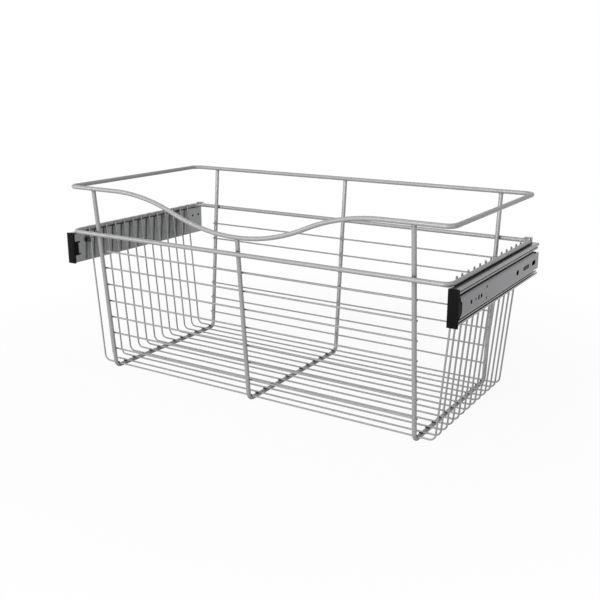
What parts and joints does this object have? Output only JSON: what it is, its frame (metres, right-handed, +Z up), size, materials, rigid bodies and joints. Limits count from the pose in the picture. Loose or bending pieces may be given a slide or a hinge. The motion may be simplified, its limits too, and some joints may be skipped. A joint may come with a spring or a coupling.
{
  "type": "pull-out wire basket",
  "caption": "Wire basket with a waved top rim that pulls out of a cabinet on full-extension ball-bearing slides screwed to the side walls.",
  "frame": {"origin": "middle of the footprint, at the height of the underside of the frames' floor runs, which are the lowest points", "axes": "+X across the basket to the right as seen from the front, +Y to the back, +Z up; the basket pulls out along -Y"},
  "size_m": [0.6096, 0.2972, 0.2778],
  "materials": {
    "rod": "satin nickel plate",
    "grid_wire": "satin nickel plate",
    "slide_steel": "zinc plate",
    "cage_steel": "bright strip",
    "ball_steel": "polished",
    "cap_plastic": "moulded black"
  },
  "bodies": {
    "cabinet_rails": {"left_cabinet_rail": "slide_steel", "right_cabinet_rail": "slide_steel"},
    "basket": {"top_rim": "rod", "lower_rim": "rod", "left_frame": "rod", "middle_frame": "rod", "right_frame": "rod", "floor_wire_01": "grid_wire", "floor_wire_02": "grid_wire", "floor_wire_03": "grid_wire", "floor_wire_04": "grid_wire", "floor_wire_05": "grid_wire", "floor_wire_06": "grid_wire", "floor_wire_07": "grid_wire", "floor_wire_08": "grid_wire", "floor_wire_09": "grid_wire", "floor_wire_10": "grid_wire", "floor_wire_11": "grid_wire", "floor_wire_12": "grid_wire", "floor_wire_13": "grid_wire", "front_wire_01": "grid_wire", "front_wire_02": "grid_wire", "front_wire_03": "grid_wire", "front_wire_04": "grid_wire", "front_wire_05": "grid_wire", "front_wire_06": "grid_wire", "front_wire_07": "grid_wire", "back_wire_01": "grid_wire", "back_wire_02": "grid_wire", "back_wire_03": "grid_wire", "back_wire_04": "grid_wire", "back_wire_05": "grid_wire", "back_wire_06": "grid_wire", "back_wire_07": "grid_wire", "left_basket_rail": "slide_steel", "left_front_cap": "cap_plastic", "right_basket_rail": "slide_steel", "right_front_cap": "cap_plastic"},
    "left_middle": {"left_middle_rail": "slide_steel"},
    "left_inner_bearing": {"left_inner_cage": "cage_steel", "left_inner_balls": "ball_steel"},
    "left_outer_bearing": {"left_outer_cage": "cage_steel", "left_outer_balls": "ball_steel"},
    "right_middle": {"right_middle_rail": "slide_steel"},
    "right_inner_bearing": {"right_inner_cage": "cage_steel", "right_inner_balls": "ball_steel"},
    "right_outer_bearing": {"right_outer_cage": "cage_steel", "right_outer_balls": "ball_steel"}
  },
  "joints": [
    {"name": "basket_slide", "type": "slide", "parent": "cabinet_rails", "child": "basket", "axis": [0, -1, 0], "range_m": [0, 0.3]},
    {"name": "left_middle_slide", "type": "slide", "parent": "cabinet_rails", "child": "left_middle", "axis": [0, -1, 0], "range_m": [0, 0.15]},
    {"name": "left_inner_bearing_slide", "type": "slide", "parent": "cabinet_rails", "child": "left_inner_bearing", "axis": [0, -1, 0], "range_m": [0, 0.075]},
    {"name": "left_outer_bearing_slide", "type": "slide", "parent": "cabinet_rails", "child": "left_outer_bearing", "axis": [0, -1, 0], "range_m": [0, 0.225]},
    {"name": "right_middle_slide", "type": "slide", "parent": "cabinet_rails", "child": "right_middle", "axis": [0, -1, 0], "range_m": [0, 0.15]},
    {"name": "right_inner_bearing_slide", "type": "slide", "parent": "cabinet_rails", "child": "right_inner_bearing", "axis": [0, -1, 0], "range_m": [0, 0.075]},
    {"name": "right_outer_bearing_slide", "type": "slide", "parent": "cabinet_rails", "child": "right_outer_bearing", "axis": [0, -1, 0], "range_m": [0, 0.225]}
  ],
  "couplings": [
    {"joint": "left_middle_slide", "follows": "basket_slide", "ratio": 0.5},
    {"joint": "left_inner_bearing_slide", "follows": "basket_slide", "ratio": 0.25},
    {"joint": "left_outer_bearing_slide", "follows": "basket_slide", "ratio": 0.75},
    {"joint": "right_middle_slide", "follows": "basket_slide", "ratio": 0.5},
    {"joint": "right_inner_bearing_slide", "follows": "basket_slide", "ratio": 0.25},
    {"joint": "right_outer_bearing_slide", "follows": "basket_slide", "ratio": 0.75}
  ]
}
